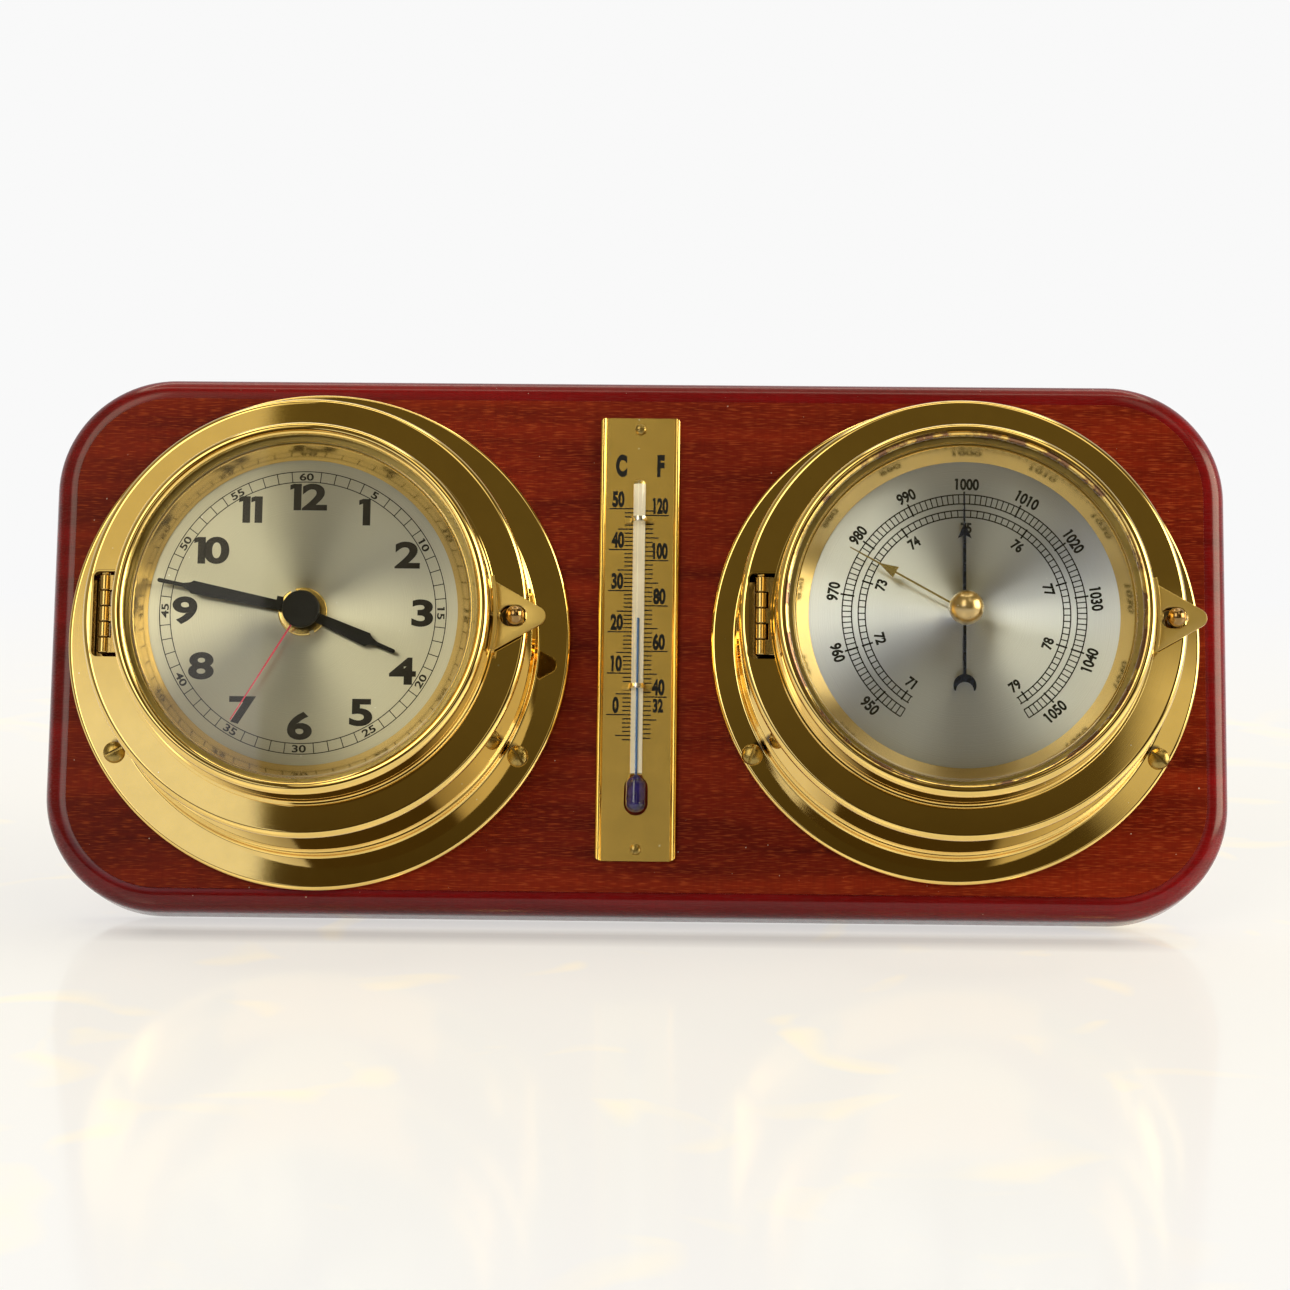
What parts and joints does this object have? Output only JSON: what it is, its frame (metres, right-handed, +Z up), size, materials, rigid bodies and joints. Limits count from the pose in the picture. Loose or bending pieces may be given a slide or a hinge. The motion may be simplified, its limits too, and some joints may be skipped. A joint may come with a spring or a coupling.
{
  "type": "wall clock and barometer set",
  "caption": "Long wall board with a porthole clock and a porthole aneroid barometer in hinged round cases and a thermometer between them.",
  "frame": {"origin": "middle of the board's back face, where it lies on the wall", "axes": "+X to the right along the board, -Y out of the dials towards the viewer, +Z up the wall"},
  "size_m": [0.3516, 0.0807, 0.1622],
  "materials": {
    "board_wood": "mahogany with open pores under clear gloss lacquer",
    "hanger_steel": "zinc plated pressed steel",
    "case_brass": "spun and polished, lacquered",
    "screw_brass": "turned",
    "hinge_brass": "drawn, darkened with age",
    "door_glass": "clear flat glass with a ground bevel",
    "dial_champagne": "radially brushed, warm",
    "dial_silver": "radially brushed, cool",
    "movement_plastic": "black moulded plastic",
    "knob_plastic": "white moulded plastic",
    "battery_sleeve": "plain printed sleeve",
    "hand_black": "satin black",
    "hand_red": "satin crimson",
    "pointer_blued": "blue-black",
    "marker_brass": "polished, aged",
    "mechanism_brass": "stamped",
    "capsule_nickel": "corrugated nickel silver",
    "spring_steel": "spring steel",
    "plate_gilt": "brushed pale gilt",
    "tube_glass": "drawn glass",
    "spirit_blue": "dyed spirit"
  },
  "bodies": {
    "board": {"back_board": "board_wood", "left_hanger_plate": "hanger_steel", "left_hanger_screw_1": "hanger_steel", "left_hanger_screw_2": "hanger_steel", "right_hanger_plate": "hanger_steel", "right_hanger_screw_1": "hanger_steel", "right_hanger_screw_2": "hanger_steel", "clock_case": "case_brass", "clock_catch_stud": "case_brass", "clock_flange_screw_1": "screw_brass", "clock_flange_screw_2": "screw_brass", "clock_flange_screw_3": "screw_brass", "clock_hinge_leaf_case": "hinge_brass", "clock_hinge_pin": "hinge_brass", "clock_dial": "dial_champagne", "clock_dial_ring": "case_brass", "clock_movement": "movement_plastic", "clock_battery": "battery_sleeve", "clock_centre_nut": "screw_brass", "barometer_case": "case_brass", "barometer_catch_stud": "case_brass", "barometer_flange_screw_1": "screw_brass", "barometer_flange_screw_2": "screw_brass", "barometer_flange_screw_3": "screw_brass", "barometer_hinge_leaf_case": "hinge_brass", "barometer_hinge_pin": "hinge_brass", "barometer_dial": "dial_silver", "barometer_dial_ring": "case_brass", "aneroid_frame": "mechanism_brass", "aneroid_capsule": "capsule_nickel", "aneroid_mainspring": "spring_steel", "thermometer_plate": "plate_gilt", "thermometer_tube": "tube_glass", "thermometer_spirit": "spirit_blue", "thermometer_clip_1": "screw_brass", "thermometer_clip_2": "screw_brass", "thermometer_nail_1": "screw_brass", "thermometer_nail_2": "screw_brass"},
    "clock_door": {"clock_bezel": "case_brass", "clock_glass": "door_glass", "clock_glass_retainer": "hinge_brass", "clock_hinge_leaf_bezel": "hinge_brass", "clock_catch_tab": "case_brass", "clock_tab_screw": "screw_brass"},
    "barometer_door": {"barometer_bezel": "case_brass", "barometer_glass": "door_glass", "barometer_glass_retainer": "hinge_brass", "barometer_hinge_leaf_bezel": "hinge_brass", "barometer_catch_tab": "case_brass", "barometer_tab_screw": "screw_brass"},
    "marker": {"barometer_marker_hand": "marker_brass", "barometer_marker_knob": "marker_brass"},
    "hour_hand": {"clock_hour_hand": "hand_black"},
    "minute_hand": {"clock_minute_hand": "hand_black"},
    "second_hand": {"clock_second_hand": "hand_red"},
    "set_knob": {"clock_set_knob": "knob_plastic"},
    "pointer": {"barometer_pointer": "pointer_blued"},
    "rocker": {"aneroid_rocker": "spring_steel"}
  },
  "joints": [
    {"name": "clock_door_hinge", "type": "hinge", "parent": "board", "child": "clock_door", "pos_m": [-0.1526, -0.059, 0], "axis": [0, 0, -1], "range_deg": [0, 110]},
    {"name": "barometer_door_hinge", "type": "hinge", "parent": "board", "child": "barometer_door", "pos_m": [0.0366, -0.059, 0.0011], "axis": [0, 0, -1], "range_deg": [0, 110]},
    {"name": "marker_turn", "type": "hinge", "parent": "barometer_door", "child": "marker", "pos_m": [0.0946, -0.0722, 0.0011], "axis": [0, 1, 0], "continuous": true},
    {"name": "minute_turn", "type": "hinge", "parent": "board", "child": "minute_hand", "pos_m": [-0.0946, -0.066, 0], "axis": [0, 1, 0], "continuous": true},
    {"name": "hour_turn", "type": "hinge", "parent": "board", "child": "hour_hand", "pos_m": [-0.0946, -0.064, 0], "axis": [0, 1, 0], "continuous": true},
    {"name": "second_turn", "type": "hinge", "parent": "board", "child": "second_hand", "pos_m": [-0.0946, -0.068, 0], "axis": [0, 1, 0], "continuous": true},
    {"name": "set_knob_turn", "type": "hinge", "parent": "board", "child": "set_knob", "pos_m": [-0.0946, -0.0425, 0], "axis": [0, 1, 0], "continuous": true},
    {"name": "pointer_turn", "type": "hinge", "parent": "board", "child": "pointer", "pos_m": [0.0946, -0.064, 0.0011], "axis": [0, 1, 0], "range_deg": [-150, 150]},
    {"name": "rocker_turn", "type": "hinge", "parent": "board", "child": "rocker", "pos_m": [0.1236, -0.0549, 0.0011], "axis": [0, 0, -1], "range_deg": [-3, 3]}
  ],
  "couplings": [
    {"joint": "hour_turn", "follows": "minute_turn", "ratio": 0.083333},
    {"joint": "set_knob_turn", "follows": "minute_turn", "ratio": 1},
    {"joint": "rocker_turn", "follows": "pointer_turn", "ratio": 0.02}
  ]
}
